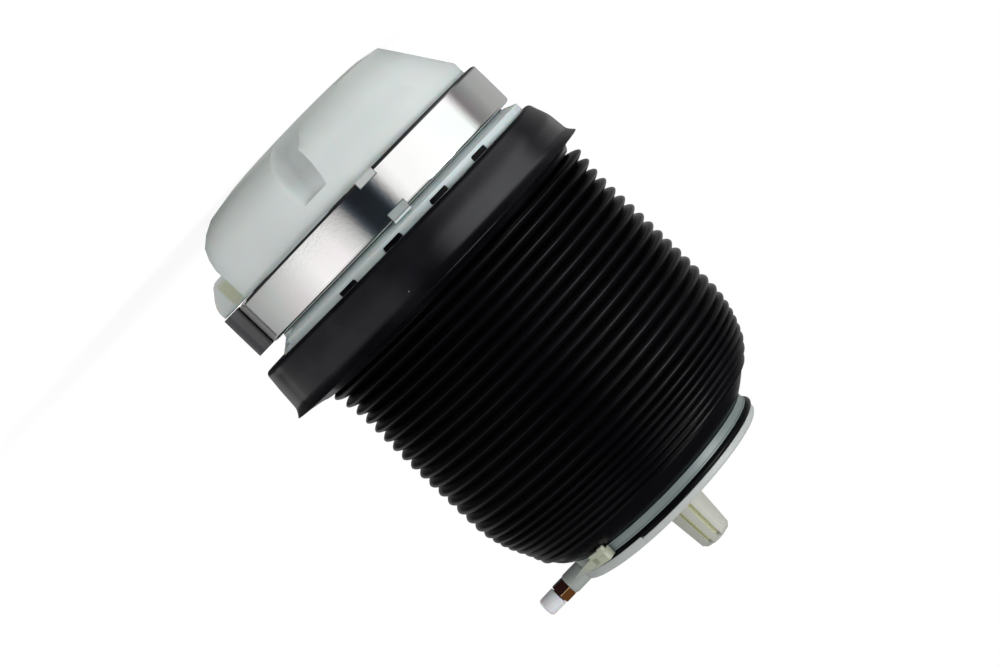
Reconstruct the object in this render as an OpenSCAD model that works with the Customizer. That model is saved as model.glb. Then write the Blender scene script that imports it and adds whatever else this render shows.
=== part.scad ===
// Rear air suspension spring for a passenger car, standing on its foot.
// The axis is Z. The foot rests at z = 0, and the fluted locating pin points up.
// The viewer who looks along +Y sees the scoop in front and the air fitting on the right.

/* [Foot pot] */
// Radius of the pot's wall just under the clamp band
foot_r = 75.4; // [74:0.2:77]
// Height at which the pot starts to taper
foot_taper_z = 33; // [31:0.5:34]
// Radius of the flat base
foot_base_r = 47; // [46:0.5:50]
// Sideways shift of the flat base
foot_base_x = 1; // [0:0.5:2]
// Wall thickness of the plastic mouldings
wall = 3.5; // [3:0.1:4]
// Number of radial ribs in the pot and in the piston base
rib_count = 12; // [8:2:16]

/* [Clamp band] */
// Height of the band's lower edge
band_z = 40; // [39:0.5:41]
// Height of the band
band_h = 24; // [22:0.5:25]
// Outer radius of the band
band_r = 81.1; // [80.6:0.1:81.6]
// Thickness of the band's sheet
band_t = 1.2; // [0.8:0.1:1.5]
// Width of the notches that the locating lugs fill
notch_w = 10.6; // [9:0.2:13]

/* [Dust collar] */
// Height at which the collar rests on the piston base
collar_z = 72.5; // [72:0.5:73.5]
// Height of the collar up to its lip
collar_h = 25; // [22:0.5:26]
// Outer radius of the collar's wall
collar_r = 92; // [90:0.5:94]
// Radius of the flared lip
lip_r = 96.5; // [94:0.5:99]
// Number of groups of snap teeth, and teeth in each group
tooth_groups = 2; // [2:1:4]
teeth_each = 4; // [2:1:4]
// Angle between teeth of one group
tooth_step = 20.9; // [16:0.1:22]

/* [Gaiter] */
// Outer radius over the folds
gaiter_r = 82.5; // [81.5:0.5:84]
// Number of folds
fold_count = 24; // [20:1:24]
// Folds of full pitch, counted from the collar
even_folds = 15; // [12:1:17]
// Pitch of those folds
fold_pitch = 6.2; // [6:0.1:6.3]
// Depth of the first fold
fold_depth = 5.4; // [4:0.2:6]
// Wall thickness, measured along the radius
gaiter_t = 2.0; // [1.6:0.1:2.2]

/* [Rolling lobe] */
// Outer radius of the rolling piston
piston_r = 48; // [46:0.5:48]
// Height of the piston's top
piston_top = 150; // [145:1:152]
// Wall thickness of the air sleeve
sleeve_t = 2.2; // [1.8:0.1:2.2]
// Outer radius of the guide tube
guide_r = 70; // [69.5:0.5:70.5]
// Height of the guide tube's lower edge
guide_z = 132; // [132:1:140]

/* [Top cover] */
// Height of the cover's flat top face
top_z = 253.5; // [253:0.5:255]
// Radius of the cover's rim
rim_r = 57.5; // [57:0.1:58]
// Radius of the neck that the gaiter's cuff sits on
neck_r = 54; // [53.5:0.1:54]
// Height of the fluted pin
pin_h = 32.5; // [25:0.5:36]
// Pin radius at its foot
pin_foot_r = 11.2; // [9:0.1:12]
// Pin radius at its tip
pin_tip_r = 8.7; // [7:0.1:9]
// Width of the cable tie's strap
tie_w = 4.8; // [4.6:0.1:5]

/* [Air fitting] */
// Distance of the fitting's axis behind the spring's axis
fit_y = 20; // [16:1:22]
// Height of the fitting's axis
fit_z = 252.8; // [252.4:0.1:253.4]
// Outer radius of the moulded spigot
spigot_r = 5.75; // [5.5:0.05:5.9]
// Distance of the spigot's mouth from the spring's axis
spigot_x = 69.2; // [66:0.4:71.2]
// Width across flats of the union nut
nut_af = 10; // [9:0.5:11]
// Bore of the union nut, for the air line
line_r = 2.1; // [2:0.05:2.2]

/* [Hidden] */
$fn = 96;
eps = 0.01;

// Clamp joint between the pot and the piston base
band_top = band_z + band_h;
joint_z = band_z + band_h / 2;
flange_r = band_r - band_t - 0.3;
lip_inner_r = foot_r + 0.2;
lug_angle = -90 - 3.9;
lug_w = notch_w - 0.6;
lug_h = 4;
pot_bore_r = foot_r - wall;
seal_r = (pot_bore_r + flange_r) / 2;
seal_t = 2.6;

// Piston base and dust collar
rim_top = collar_z;
base_rim_r = 82.3;
seat_r = 77.2;
seat_top = 96.5;
seat_t = 2.8;
floor_z = joint_z + 6;
floor_t = 4;
first_tooth = -90 - 37.2;
tooth_w = 10.4;
tooth_h = 2.4;
lip_z = collar_z + collar_h;

// Rolling lobe
piston_neck_r = piston_r - 5;
piston_neck_h = 13;
guide_t = 1.6;
sleeve_out = guide_r - guide_t - 0.4 - sleeve_t / 2;
sleeve_in = piston_r + 0.1 + sleeve_t / 2;
lobe_r = (sleeve_out - sleeve_in) / 2;
lobe_z = 126;

// Top cover
cover_seat_z = top_z - 15;
stem_r = 50;
stem_h = 16.5;
tie_z = 241.8;
bead_z = tie_z + tie_w + 0.4;
bead_h = 2.9;
bead_r = 58.9;
skirt_z = bead_z + 1.6;
skirt_from = -64;
skirt_sweep = 130;
port_z = bead_z - 0.35;
port_from = -30;
port_sweep = 84;

// Air fitting
chamber_r = 3.95;
nut_l = 6.5;
nut_stem_r = 3.9;
nut_stem_l = 10;
stem_end = spigot_x - nut_stem_l;

// Points on an arc round c, from angle a0 to a1, in steps
function arc(c, r, a0, a1, steps) =
    [for (i = [0:steps]) let (a = a0 + (a1 - a0) * i / steps) c + r * [cos(a), sin(a)]];

// Points on a smooth S from p to q that starts and ends upright
function s_curve(p, q, steps) =
    [for (i = [1:steps - 1]) let (t = i / steps)
        [p[0] + (q[0] - p[0]) * (1 - cos(180 * t)) / 2, p[1] + (q[1] - p[1]) * t]];

// Closed outline of a wall of thickness t that follows a path
function ribbon(path, t) =
    let (last = len(path) - 1,
        side = [for (i = [0:last])
            let (d = path[min(i + 1, last)] - path[max(i - 1, 0)]) [-d[1], d[0]] / norm(d) * t / 2])
    concat([for (i = [0:last]) path[i] + side[i]], [for (i = [last:-1:0]) path[i] - side[i]]);

// Closed outline between a path and its copy moved towards the axis
function shell(path, t) =
    concat(path, [for (i = [len(path) - 1:-1:0]) path[i] - [t, 0]]);

module ring(r_out, r_in, z0, z1) {
    rotate_extrude() translate([r_in, z0]) square([r_out - r_in, z1 - z0]);
}

module ring_sector(r_out, r_in, z0, z1, from, sweep) {
    rotate([0, 0, from]) rotate_extrude(angle = sweep)
        translate([r_in, z0]) square([r_out - r_in, z1 - z0]);
}

module o_ring(r, z, t) {
    rotate_extrude() translate([r, z]) circle(d = t, $fn = 32);
}

// A block on the outside of a cylinder, centred on an angle
module rim_block(angle, r0, r1, w, z0, z1) {
    rotate([0, 0, angle]) translate([r0, -w / 2, z0]) cube([r1 - r0, w, z1 - z0]);
}

module radial_ribs(count, r0, r1, t, z0, z1, first = 15) {
    for (i = [0:count - 1]) rim_block(first + i * 360 / count, r0, r1, t, z0, z1);
}

// A cylinder along the air fitting's axis, from x0 to x1
module fitting_rod(x0, x1, r, sides = 64) {
    translate([x0, fit_y, fit_z]) rotate([0, 90, 0]) cylinder(r = r, h = x1 - x0, $fn = sides);
}

// A ring round the air fitting's axis
module fitting_ring(x0, x1, r_out, r_in) {
    difference() {
        fitting_rod(x0, x1, r_out);
        fitting_rod(x0 - 1, x1 + 1, r_in);
    }
}

// Foot pot: the lower half of the air chamber. It leans over on its left side.
// Height, sideways shift and radius of its cross-sections between the base and the wall
pot_levels = [[2, 2.9, 58.1], [5, 4.9, 62.1], [9, 6.3, 65.7], [14, 6, 68.5], [20, 4.9, 71.1], [26, 2.7, 73.2]];

module pot_form(inset, sides) {
    hull($fn = sides) {
        translate([foot_base_x, 0, inset]) cylinder(r = foot_base_r - inset, h = eps, $fn = sides);
        for (v = pot_levels) translate([v[1], 0, v[0] + inset * max(0.1, 1 - v[0] / 20)])
            cylinder(r = v[2] - inset, h = eps, $fn = sides);
        translate([0, 0, foot_taper_z]) cylinder(r = foot_r - inset, h = joint_z - foot_taper_z, $fn = sides);
    }
}

// A short upright disc of the scoop's cutter
module scoop_disc(x, y, z, r) {
    translate([x, y, z]) cylinder(r = r, h = 1, $fn = 48);
}

// The scoop in the pot's front: a half pipe that leans in and swings to the left as it goes down.
// Small discs make its crisp left edge, and large ones its right flank, which runs out softly.
module scoop_form(grow) {
    hull() {
        scoop_disc(16.5, -75.1, 30 + grow, 5 + grow);
        scoop_disc(18.2, -86.9, 30 + grow, 16 + grow);
        scoop_disc(14.3, -71.3, 20, 5 + grow);
        scoop_disc(17.5, -83.4, 20, 16 + grow);
        scoop_disc(13.3, -67.6, 10, 5 + grow);
        scoop_disc(15.5, -78.6, 10, 15 + grow);
    }
    hull() {
        scoop_disc(13.3, -67.6, 10, 5 + grow);
        scoop_disc(15.5, -78.6, 10, 15 + grow);
        scoop_disc(10.6, -62.9, 4, 5 + grow);
        scoop_disc(11.8, -72, 4, 13 + grow);
        scoop_disc(5, -54.8, -1.5, 4.5 + grow);
        scoop_disc(4.8, -63.4, -1.5, 12 + grow);
    }
}

// The ear that carries the band's lock from below, cored out from behind to a thin front skin
module ear() {
    skin = 1.8;
    ear_w = 16;
    top = band_z - 0.8;
    difference() {
        translate([0, ear_w / 2, top]) rotate([90, 0, 0]) linear_extrude(ear_w) polygon([
            [74, 0], [89.2, 0], [89.2, -3.7], [88.4, -6.4], [86.6, -9.4], [82.4, -14.3], [80.4, -15.5],
            [78, -15.8], [74, -15.8]]);
        translate([76.6, skin - ear_w / 2, top - 13.2]) cube([4.8, ear_w, 10.7]);
    }
}

module foot_pot() {
    boss_r = 14;
    deck_z = 9;
    color([0.80, 0.83, 0.82]) difference() {
        union() {
            difference() {
                pot_form(0, 96);
                difference() {
                    pot_form(wall, 64);
                    translate([-80, -80, -1]) cube([160, 160, deck_z + wall + 1]);
                    scoop_form(wall);
                }
                scoop_form(0);
            }
            ring(flange_r, pot_bore_r, band_z + band_t + 0.1, joint_z);
            translate([0, 0, deck_z]) cylinder(r = boss_r, h = 14);
            intersection() {
                radial_ribs(rib_count, boss_r - 1, 62, 2.5, deck_z, deck_z + 14);
                pot_form(wall - 1, 32);
            }
            rim_block(lug_angle, foot_r - 2, band_r + 0.2, lug_w, band_z + 0.15, band_z + lug_h - 0.4);
            ear();
        }
        cored_base(deck_z, boss_r);
        translate([0, 0, -1]) cylinder(r = 8, h = 19);
        ring(seal_r + seal_t / 2 + 0.1, seal_r - seal_t / 2 - 0.1, joint_z - seal_t, joint_z + 1);
    }
}

// Pockets between the ribs under the pot's floor
module cored_base(deck_z, boss_r) {
    difference() {
        ring(foot_base_r - 5, boss_r, -1, deck_z - 1);
        radial_ribs(rib_count, boss_r - 1, foot_base_r - 3, 3, -2, deck_z, 0);
    }
}

// Threaded bush moulded into the foot, for the fixing bolt from below
module thread_insert() {
    color([0.72, 0.73, 0.74]) rotate_extrude() difference() {
        union() {
            translate([4.25, 0.3]) square([3.75, 17.7]);
            translate([4.25, 0.3]) square([3.75, 1.5]);
        }
        for (z = [4, 8, 12]) translate([7.2, z]) square([1, 1.2]);
    }
}

module foot_seal() {
    color([0.10, 0.10, 0.11]) o_ring(seal_r, joint_z - seal_t / 2, seal_t);
}

// Piston base: upper half of the clamp joint, with the collar's rim and the gaiter's seat.
// The rim is relieved by a cone on either side of the lock.
module piston_base() {
    relief = 26;
    step_z = band_top - band_t - 0.2;
    color([0.74, 0.78, 0.78]) difference() {
        union() {
            rotate_extrude() polygon([
                [38, floor_z], [pot_bore_r, floor_z], [pot_bore_r, joint_z], [flange_r, joint_z],
                [flange_r, step_z], [lip_inner_r - 0.4, step_z], [lip_inner_r - 0.4, band_top + 0.6],
                [base_rim_r, band_top + 3.6], [base_rim_r, rim_top],
                [base_rim_r - 2.5, rim_top], [base_rim_r - 2.5, rim_top - 3.5], [seat_r, rim_top - 3.5],
                [seat_r, seat_top - 4], [seat_r + 0.6, seat_top - 3], [seat_r + 0.6, seat_top - 1.8],
                [seat_r - 0.8, seat_top], [seat_r - seat_t, seat_top], [seat_r - seat_t, floor_z + 12],
                [lip_inner_r - wall, floor_z + 9], [lip_inner_r - wall, floor_z + floor_t],
                [44.7, floor_z + floor_t], [44.7, floor_z + floor_t + 3], [42.1, floor_z + floor_t + 3],
                [42.1, floor_z + floor_t + 5.8], [44.7, floor_z + floor_t + 5.8],
                [44.7, floor_z + floor_t + 8.6], [38, floor_z + floor_t + 8.6]]);
            radial_ribs(rib_count, 52, lip_inner_r - 1.6, 2.5, floor_z + 1, floor_z + 8.2);
            rim_block(lug_angle, foot_r - 1, band_r + 0.2, lug_w, band_top - lug_h + 0.4, band_top + 1.7);
        }
        snap_places() rim_block(0, base_rim_r - 3.5, base_rim_r + 1, tooth_w + 0.6, rim_top - tooth_h - 0.2, rim_top + 1);
        rotate([0, 0, -relief]) rotate_extrude(angle = 2 * relief) polygon([
            [lip_inner_r, band_top - 0.3], [base_rim_r + 1.2, band_top - 0.3],
            [base_rim_r + 1.2, rim_top - 0.4], [lip_inner_r, band_top + 2.1]]);
    }
}

// Puts its children at every snap tooth
module snap_places() {
    for (g = [0:tooth_groups - 1], t = [0:teeth_each - 1])
        rotate([0, 0, first_tooth + g * 360 / tooth_groups + t * tooth_step]) children();
}

// Rolling piston: the tube that the air sleeve rolls down on
module roll_piston() {
    base = floor_z + floor_t;
    neck_z = piston_top - piston_neck_h;
    color([0.16, 0.16, 0.17]) difference() {
        rotate_extrude() polygon(concat(
            [[44.9, base + 0.1], [piston_r - 1, base + 0.1], [piston_r, base + 2], [piston_r, neck_z - 6],
                [piston_neck_r, neck_z + 1], [piston_neck_r, neck_z + 3], [piston_neck_r - 0.6, neck_z + 3.6],
                [piston_neck_r, neck_z + 5], [piston_neck_r, neck_z + 8], [piston_neck_r - 0.6, neck_z + 8.6],
                [piston_neck_r, neck_z + 10], [piston_neck_r, piston_top - 1], [piston_neck_r - 1, piston_top],
                [0, piston_top], [0, piston_top - 4], [piston_neck_r - wall, piston_top - 4],
                [piston_neck_r - wall, neck_z], [44.9, neck_z - 8]]));
        for (i = [0:5]) rotate([0, 0, i * 60]) translate([30, 0, piston_top - 5]) cylinder(r = 4, h = 6, $fn = 32);
    }
}

module piston_seal() {
    color([0.10, 0.10, 0.11]) o_ring(43.5, floor_z + floor_t + 4.4, 2.6);
}

// A crimped ring with two rolled beads, which holds the sleeve on its neck
module crimp_ring(r_in, z0, h) {
    t = 1.8;
    color([0.78, 0.79, 0.80]) rotate_extrude() polygon([
        [r_in, z0], [r_in + t, z0], [r_in + t, z0 + h * 0.2], [r_in + t - 0.6, z0 + h * 0.3],
        [r_in + t, z0 + h * 0.4], [r_in + t, z0 + h * 0.6], [r_in + t - 0.6, z0 + h * 0.7],
        [r_in + t, z0 + h * 0.8], [r_in + t, z0 + h], [r_in, z0 + h]]);
}

module lower_crimp_ring() {
    crimp_ring(piston_neck_r + sleeve_t + 0.3, piston_top - 10, 9);
}

module upper_crimp_ring() {
    crimp_ring(stem_r + sleeve_t + 0.2, cover_seat_z - 12.4, 10);
}

// Clamp band: a channel of sheet steel that grips both flanges, with hooked ends in the lock
module clamp_band() {
    gap = 3;
    hook_x = 84.4;
    edge_r = 1.8;
    color([0.80, 0.80, 0.79]) difference() {
        union() {
            rotate_extrude() polygon(concat(
                [[lip_inner_r, band_z]],
                arc([band_r - edge_r, band_z + edge_r], edge_r, -90, 0, 4),
                arc([band_r - edge_r, band_top - edge_r], edge_r, 0, 90, 4),
                [[lip_inner_r, band_top], [lip_inner_r, band_top - band_t],
                    [band_r - band_t, band_top - band_t], [band_r - band_t, band_z + band_t],
                    [lip_inner_r, band_z + band_t]]));
            for (s = [-1, 1]) scale([1, s, 1]) {
                translate([band_r - band_t, gap / 2, band_z + 0.6]) cube([hook_x + band_t - band_r + band_t, band_t, band_h - 1.2]);
                translate([hook_x, gap / 2, band_z + 0.6]) cube([band_t, 6, band_h - 1.2]);
            }
        }
        translate([70, -gap / 2, band_z - 1]) cube([20, gap, band_h + 2]);
        for (z = [band_z - 1, band_top - lug_h])
            rim_block(lug_angle, 70, 90, notch_w, z, z + lug_h + 1);
    }
}

// Lock: a folded channel pushed over the band's hooked ends
module band_lock() {
    x0 = 81.3;
    depth = 9;
    width = 21;
    t = 1.8;
    color([0.28, 0.28, 0.29]) translate([0, 0, band_z - 0.2]) linear_extrude(band_h - 0.3) difference() {
        translate([x0, -width / 2]) offset(r = 1.6, $fn = 24) offset(delta = -1.6) square([depth, width]);
        translate([x0 + t, -width / 2 + t]) square([depth - 2 * t, width - 2 * t]);
        translate([x0 - 1, -3.3]) square([t + 2, 6.6]);
    }
}

// Dust collar: a hollow rubber ring with a flared lip, snapped into the base's windows by teeth
module dust_collar() {
    t = 2.5;
    rise = 2.1;
    heel = 2.4;
    color([0.13, 0.13, 0.15]) {
        rotate_extrude() polygon(concat(
            [[seat_r + 0.4, collar_z - 2.8], [base_rim_r - 2.7, collar_z - 2.8], [base_rim_r - 2.7, collar_z]],
            arc([collar_r - heel, collar_z + heel], heel, -90, 0, 5),
            [for (u = [0.1:0.1:1]) [
                collar_r + rise * u + (lip_r - collar_r - rise) * pow(max(0, u - 0.8) / 0.2, 1.6),
                collar_z + heel + (collar_h - 3.6) * u]],
            [[lip_r, lip_z - 0.5], [lip_r - 0.8, lip_z], [collar_r - 2, lip_z + 0.6], [83.2, lip_z + 1.4],
                [82.8, lip_z - 0.8], [collar_r - 3.4, lip_z - 2.2], [collar_r - 0.6, collar_z + 19],
                [collar_r - 1.4, collar_z + 10], [collar_r - t, collar_z + 5], [collar_r - t - 1, collar_z + t],
                [seat_r + 0.4, collar_z + t]]));
        snap_places() rim_block(0, base_rim_r - 3.2, base_rim_r + 0.2, tooth_w, collar_z - tooth_h, collar_z + 0.5);
    }
}

// Spring band that holds the gaiter's lower cuff, hidden by the collar
module gaiter_clamp() {
    color([0.72, 0.73, 0.74]) difference() {
        ring(80.9, 79.9, 84, 91);
        rim_block(200, 70, 90, 2, 80, 95);
    }
}

// Valley heights between the gaiter's folds: even at first, then closing up towards the top
fold_base = 101.6;
function valley(i) = i <= even_folds ? fold_base + i * fold_pitch
    : valley(i - 1) + max(3.8, fold_pitch + 0.1 - 0.7 * (i - even_folds));

// Radius over the folds at height z: nearly straight, with a slight bulge, then a shoulder down to the cuff
cuff_r = 56;
shoulder_z = 194;
bulge = 0.8;
function swell(z) = bulge * max(0, 1 - pow((z - 175) / 45, 2));
function envelope(z) = swell(z) + (z <= shoulder_z ? gaiter_r
    : cuff_r + (gaiter_r - cuff_r) * pow(1 - pow((z - shoulder_z) / (tie_z - shoulder_z), 2), 0.7));

// The first folds stand out over the collar, and each fold is a little shallower than the one below
function tip_r(i) = envelope((valley(i) + valley(i + 1)) / 2) + max(0, 1.8 - 0.8 * i);
function depth(i) = i < even_folds ? fold_depth - 0.15 * i : max(0.9, 3.1 - 0.35 * (i - even_folds));

// One fold: a rounded crest between two sharp valleys
crest_steps = [-0.5, -0.34, -0.16, 0, 0.16, 0.34];
function fold(i) = let (z0 = valley(i), p = valley(i + 1) - z0)
    [for (u = crest_steps) [tip_r(i) - depth(i) * pow(abs(2 * u), 1.9), z0 + p * (u + 0.5)]];

function folds() = [for (i = [0:fold_count - 1]) each fold(i)];

// The smooth stretch over the shoulder, up to the tied cuff
function cuff_flare() = let (z0 = valley(fold_count))
    [for (t = [0:0.125:0.9]) let (z = z0 + (tie_z - 0.4 - z0) * sin(90 * t)) [envelope(z) - 1.5 * (1 - t), z]];

module gaiter() {
    lower = [[80.0, 82.5], [79.6, 83.2], [79.6, 96.5], [78.6, 99]];
    upper = [[cuff_r + 0.4, tie_z - 0.4], [cuff_r, tie_z], [cuff_r, bead_z - 0.2], [bead_r - 1.2, bead_z],
        [bead_r, bead_z + 1.2], [bead_r, bead_z + bead_h - 1.2], [bead_r - 1.2, bead_z + bead_h],
        [neck_r + 0.3, bead_z + bead_h]];
    inner_top = [[neck_r + 0.1, bead_z + bead_h], [neck_r + 0.1, tie_z - 1.5]];
    outside = concat(lower, folds(), cuff_flare());
    color([0.045, 0.045, 0.05]) difference() {
        rotate_extrude() polygon(concat(outside, upper, inner_top,
            [for (i = [len(outside) - 1:-1:3]) outside[i] - [gaiter_t, 0]], [[seat_r + 0.7, 96.9], [seat_r + 0.7, 93.2],
                [seat_r + 0.1, 92.2], [seat_r + 0.1, 82.5]]));
        ring_sector(bead_r + 2, neck_r - 1, skirt_z, bead_z + bead_h + 1, skirt_from - 1, skirt_sweep + 2);
        ring_sector(bead_r + 2, neck_r + 0.05, port_z, bead_z + bead_h + 1, port_from - 1, port_sweep + 2);
    }
}

// Air sleeve: down the guide tube, round the rolling lobe and up the piston to its neck
module air_sleeve() {
    top_r = stem_r + 0.1 + sleeve_t / 2;
    neck = piston_neck_r + 0.1 + sleeve_t / 2;
    path = concat(
        [[top_r, cover_seat_z - 2.6], [top_r, cover_seat_z - 13]],
        s_curve([top_r, cover_seat_z - 13], [sleeve_out, cover_seat_z - 34], 10),
        [[sleeve_out, cover_seat_z - 34], [sleeve_out, 170]],
        arc([sleeve_in + lobe_r, lobe_z], lobe_r, 0, -180, 16),
        [[sleeve_in, piston_top - piston_neck_h - 5.2], [neck, piston_top - piston_neck_h + 2.4],
            [neck, piston_top - 0.5]]);
    color([0.09, 0.09, 0.09]) rotate_extrude() polygon(ribbon(path, sleeve_t));
}

// Guide tube: drawn aluminium, with a domed shoulder that is gripped under the cover
module outer_guide() {
    shoulder = arc([0, 0], 1, 0, 90, 14);
    dome_z = 205;
    dome_r = 56;
    path = concat(
        [[guide_r + 0.2, guide_z], [guide_r - guide_t / 2, guide_z + 2]],
        [for (p = shoulder) [dome_r + p[0] * (guide_r - guide_t / 2 - dome_r),
            dome_z + p[1] * (cover_seat_z - guide_t / 2 - 0.1 - dome_z)]],
        [[stem_r + 0.3, cover_seat_z - guide_t / 2 - 0.1]]);
    color([0.76, 0.77, 0.79]) rotate_extrude() polygon(ribbon(path, guide_t));
}

// Bump stop: a ringed foam buffer under the cover
module bump_stop() {
    top = cover_seat_z - 18;
    color([0.85, 0.80, 0.62]) rotate_extrude() polygon([
        [8, top], [21.5, top], [21.5, top - 5], [19, top - 7.5], [21, top - 10], [21, top - 14],
        [18, top - 16.5], [19, top - 18.5], [17, top - 23], [12, top - 24.5], [8, top - 24.5]]);
}

// Cup that carries the bump stop
module stop_cup() {
    top = cover_seat_z - 18;
    color([0.60, 0.61, 0.62]) rotate_extrude() polygon([
        [3.2, top + 0.05], [21.8, top + 0.05], [21.8, top - 6], [23.3, top - 6],
        [23.3, top + 0.5], [22.3, top + 1.5], [3.2, top + 1.5]]);
}

module stop_screw() {
    top = cover_seat_z - 18;
    color([0.55, 0.56, 0.57]) {
        translate([0, 0, top - 4]) cylinder(d = 10, h = 4, $fn = 6);
        translate([0, 0, top - eps]) cylinder(r = 3, h = 15);
    }
}

// Fluted pin: three narrow ribs, each between two grooves, and a low raised disc on the tip
module fluted_pin() {
    groove_w = 2.3;
    tip_h = 0.9;
    translate([0, 0, top_z - 1]) {
        difference() {
            union() {
                cylinder(r1 = pin_foot_r + 0.1, r2 = pin_tip_r + 0.1, h = pin_h - 1.6);
                translate([0, 0, pin_h - 1.6]) cylinder(r1 = pin_tip_r + 0.1, r2 = pin_tip_r - 1.4, h = 1.7);
            }
            for (a = [0:120:240], s = [-1, 1])
                rotate([0, 0, a + 11.7 - 90 + s * 17.5])
                    translate([pin_foot_r - 2.2, -groove_w / 2, 3]) rotate([0, -4.2, 0])
                        cube([8, groove_w, pin_h + 3]);
        }
        translate([0, 0, pin_h - 1]) cylinder(r1 = pin_tip_r * 0.6, r2 = pin_tip_r * 0.52, h = 1.1 + tip_h);
    }
}

// Top cover: closes the air chamber, carries the pin, the gaiter's neck and the air fitting
module top_cover() {
    stem_z = cover_seat_z - stem_h;
    color([0.82, 0.83, 0.80]) difference() {
        union() {
            rotate_extrude() polygon([
                [0, top_z - 5.5], [stem_r - wall, top_z - 5.5], [stem_r - wall, stem_z + 1], [stem_r - wall + 1, stem_z],
                [stem_r - 0.6, stem_z], [stem_r, stem_z + 1.5], [stem_r, stem_z + 5],
                [stem_r - 0.6, stem_z + 5.6], [stem_r, stem_z + 7], [stem_r, stem_z + 10],
                [stem_r - 0.6, stem_z + 10.6], [stem_r, stem_z + 12], [stem_r, cover_seat_z],
                [neck_r, cover_seat_z], [neck_r, bead_z + bead_h + 0.1], [rim_r, bead_z + bead_h + 0.1],
                [rim_r, top_z - 1], [rim_r - 1, top_z], [44, top_z], [40, top_z + 1.6], [14, top_z + 2.4],
                [13, top_z + 3.2], [0, top_z + 3.2]]);
            ring_sector(rim_r + 0.8, neck_r - 1, skirt_z + 0.1, top_z - 0.6, skirt_from, skirt_sweep);
            ring_sector(rim_r + 0.6, neck_r - 0.8, port_z + 0.1, skirt_z + 0.8, port_from, port_sweep);
            fluted_pin();
            translate([0, 0, cover_seat_z - 16.4]) cylinder(r = 7, h = 26.5);
            radial_ribs(rib_count / 2, 5, stem_r - 1, 2.5, top_z - 14, top_z - 4);
            spigot();
        }
        translate([0, 0, cover_seat_z - 17]) cylinder(r = 3, h = 14.5);
        fitting_rod(stem_end - 16, spigot_x + 1, chamber_r + 0.05);
        fitting_rod(stem_end - 22, stem_end - 15, 1.6, 32);
        translate([stem_end - 20, fit_y, top_z - 14]) cylinder(r = 1.6, h = 15, $fn = 32);
    }
}

// Spigot of the air fitting, with a boss where it leaves the cover
module spigot() {
    fitting_rod(stem_end - 26, spigot_x - 1.5, spigot_r);
    fitting_rod(stem_end - 24, 49, spigot_r + 0.7);
    translate([spigot_x - 1.6, fit_y, fit_z]) rotate([0, 90, 0]) cylinder(r1 = spigot_r, r2 = spigot_r - 0.5, h = 1.6);
}

// Cable tie: strap, ratchet head and the cut end of the strap
module cable_tie() {
    strap_t = 1.3;
    strap_r = cuff_r + 0.05 + strap_t;
    mid_z = tie_z + tie_w / 2;
    head_angle = -42.5;
    color([0.66, 0.72, 0.70]) {
        ring(strap_r, cuff_r + 0.05, tie_z + 0.05, tie_z + tie_w - 0.05);
        rotate([0, 0, head_angle]) difference() {
            translate([strap_r - 0.6, -4.8, mid_z - 4]) cube([6.2, 9.6, 8]);
            translate([strap_r - 2, -6, tie_z - 3]) cube([61 - strap_r + 2, 12, 2.9]);
            translate([strap_r - 2, -6, bead_z - 0.3]) cube([59.6 - strap_r + 2, 12, 3]);
            translate([strap_r + 1.8, -6, mid_z - tie_w / 2 - 0.2]) cube([strap_t + 0.4, 4, tie_w + 0.4]);
        }
        rotate([0, 0, head_angle]) translate([strap_r + 1.8, 4, mid_z]) rotate([0, 90, 0])
            linear_extrude(strap_t) polygon([[-tie_w / 2, 0], [-tie_w / 2, 9], [-1.6, 16], [-0.2, 22.6], [0.6, 23.3],
                [1.3, 22.4], [2, 16], [tie_w / 2, 9], [tie_w / 2, 0]]);
    }
}

// Residual pressure valve: a ported cartridge in the fitting's bore, under a rubber flap
module valve_body() {
    x0 = stem_end - 10.8;
    color([0.72, 0.58, 0.28]) difference() {
        fitting_ring(x0, x0 + 4, chamber_r, 1.1);
        for (a = [0:90:270]) translate([x0 - 1, fit_y + 2.4 * cos(a), fit_z + 2.4 * sin(a)])
            rotate([0, 90, 0]) cylinder(r = 0.6, h = 6, $fn = 24);
    }
}

module valve_flap() {
    x0 = stem_end - 10.8;
    color([0.15, 0.15, 0.15]) translate([x0, fit_y, fit_z]) rotate([0, 90, 0]) rotate_extrude() polygon([
        [0, -1.6], [1.4, -1.5], [2.8, -0.9], [3.3, -0.1], [1.05, -0.1], [1.05, 4.1],
        [1.5, 4.1], [1.1, 5.1], [0, 5.4]]);
}

module line_oring() {
    color([0.10, 0.10, 0.11]) translate([stem_end - 5.5, fit_y, fit_z]) rotate([0, 90, 0])
        rotate_extrude() translate([2.95, 0]) circle(r = 0.95, $fn = 32);
}

// Collet: the slotted ring that grips the air line
module line_collet() {
    x0 = stem_end - 4.4;
    grip_r = chamber_r - 0.03;
    color([0.75, 0.60, 0.28]) difference() {
        union() {
            fitting_ring(x0 + 1.2, x0 + 4, grip_r, line_r + 0.05);
            translate([x0, fit_y, fit_z]) rotate([0, 90, 0]) difference() {
                cylinder(r1 = grip_r - 0.8, r2 = grip_r, h = 1.3);
                translate([0, 0, -1]) cylinder(r = line_r + 0.05, h = 4);
            }
        }
        translate([x0 - 1, fit_y - 0.3, fit_z]) cube([3.4, 0.6, 6]);
    }
}

// Union nut: hexagon outside, screwed stem inside the spigot
module union_nut() {
    color([0.55, 0.33, 0.13]) difference() {
        union() {
            fitting_rod(stem_end, spigot_x + 0.4, nut_stem_r);
            translate([spigot_x + 0.3, fit_y, fit_z]) rotate([0, 90, 0]) rotate([0, 0, 30])
                cylinder(d = nut_af / cos(30), h = nut_l, $fn = 6);
            fitting_rod(spigot_x + nut_l, spigot_x + nut_l + 1.5, 3.6);
        }
        fitting_rod(stem_end - 1, spigot_x + nut_l + 3, line_r);
    }
}

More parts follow.
